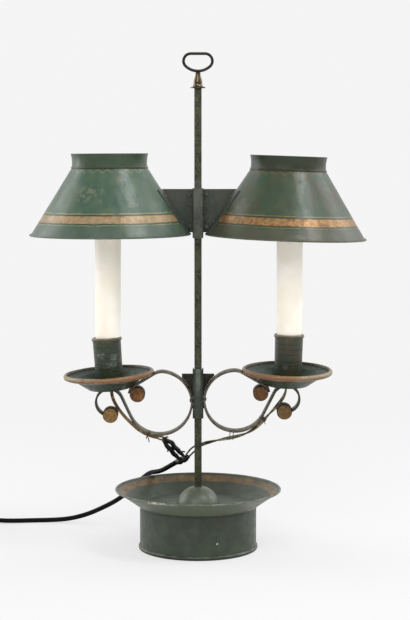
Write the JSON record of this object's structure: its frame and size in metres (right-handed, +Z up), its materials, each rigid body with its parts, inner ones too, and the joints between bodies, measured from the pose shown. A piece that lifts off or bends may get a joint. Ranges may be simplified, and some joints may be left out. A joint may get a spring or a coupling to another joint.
{
  "type": "table lamp",
  "caption": "Bouillotte table lamp in painted sheet iron: dish base, square rod with ring handle, sliding scroll arms with candle lights, and sliding cone shades",
  "frame": {"origin": "on the table, under the rod's axis", "axes": "+Z up the rod, +X towards the right-hand light, +Y to the back"},
  "size_m": [0.5953, 0.2155, 0.52],
  "materials": {
    "shade_paint": "worn dark green paint with a gilt band, satin",
    "base_paint": "worn grey-green paint, satin",
    "pan_paint": "worn dark green paint with a gilt lip, satin",
    "slide_paint": "thin dark paint over iron",
    "rod_iron": "patchy olive paint over iron",
    "scroll_iron": "rubbed paint over strip iron",
    "gilt_iron": "rubbed orange gilding",
    "old_brass": "dark patina",
    "handle_iron": "dark polished wire",
    "raw_iron": "bare",
    "zinc_steel": "zinc plated",
    "candle_card": "ivory card sleeve",
    "holder_plastic": "moulded",
    "cap_metal": "threaded cap",
    "opal_glass": "opal",
    "lead_plastic": "twisted brown wires",
    "tape_black": "insulating tape",
    "tape_olive": "cloth tape",
    "wire_tie": "thin wire",
    "cord_black": "smooth round flex",
    "plug_black": "moulded",
    "pin_metal": "plated",
    "rocker_plastic": "moulded"
  },
  "bodies": {
    "lamp_base": {"ballast": "raw_iron", "base_dish": "base_paint", "base_drum": "base_paint", "bottom_plate": "raw_iron", "coil_tie": "plug_black", "cord_coil": "cord_black", "cord_end": "cord_black", "cord_link": "cord_black", "cord_rise": "cord_black", "cord_run": "cord_black", "dome": "base_paint", "finial_baluster": "old_brass", "plug_body": "plug_black", "plug_pins": "pin_metal", "ring_handle": "handle_iron", "rod": "rod_iron", "rod_nut": "zinc_steel", "rod_washer": "zinc_steel", "switch_base": "plug_black", "switch_cover": "plug_black", "switch_reliefs": "plug_black"},
    "shade_carrier": {"left_shade_collar": "shade_paint", "left_shade_cone": "shade_paint", "right_shade_collar": "shade_paint", "right_shade_cone": "shade_paint", "shade_channel": "slide_paint", "shade_leaf": "slide_paint", "shade_plate": "slide_paint", "shade_rivets": "zinc_steel"},
    "arm_carrier": {"arm_channel": "slide_paint", "arm_leaf": "slide_paint", "arm_plate": "slide_paint", "arm_rivets": "scroll_iron", "junction_wrap": "tape_black", "left_bulb_cap": "cap_metal", "left_bulb_glass": "opal_glass", "left_candle": "candle_card", "left_cup": "pan_paint", "left_holder_leg": "zinc_steel", "left_lampholder": "holder_plastic", "left_lead": "lead_plastic", "left_pan": "pan_paint", "left_roundels": "gilt_iron", "left_scroll": "scroll_iron", "left_tie": "tape_black", "right_bulb_cap": "cap_metal", "right_bulb_glass": "opal_glass", "right_candle": "candle_card", "right_cup": "pan_paint", "right_holder_leg": "zinc_steel", "right_lampholder": "holder_plastic", "right_lead": "lead_plastic", "right_loop_tie": "wire_tie", "right_pan": "pan_paint", "right_roundels": "gilt_iron", "right_scroll": "scroll_iron", "right_tape_tie": "tape_olive", "seat_rivets": "scroll_iron", "wire_splices": "tape_black"},
    "rocker": {"switch_rocker": "rocker_plastic"}
  },
  "joints": [
    {"name": "shade_slide", "type": "slide", "parent": "lamp_base", "child": "shade_carrier", "axis": [0, 0, 1], "range_m": [-0.07, 0.088]},
    {"name": "arm_slide", "type": "slide", "parent": "lamp_base", "child": "arm_carrier", "axis": [0, 0, 1], "range_m": [-0.008, 0.055], "deforming": ["cord_rise"]},
    {"name": "switch_rocker_hinge", "type": "hinge", "parent": "lamp_base", "child": "rocker", "pos_m": [-0.286, 0.114, 0.0122], "axis": [0, 1, 0], "range_deg": [0, 14]}
  ]
}
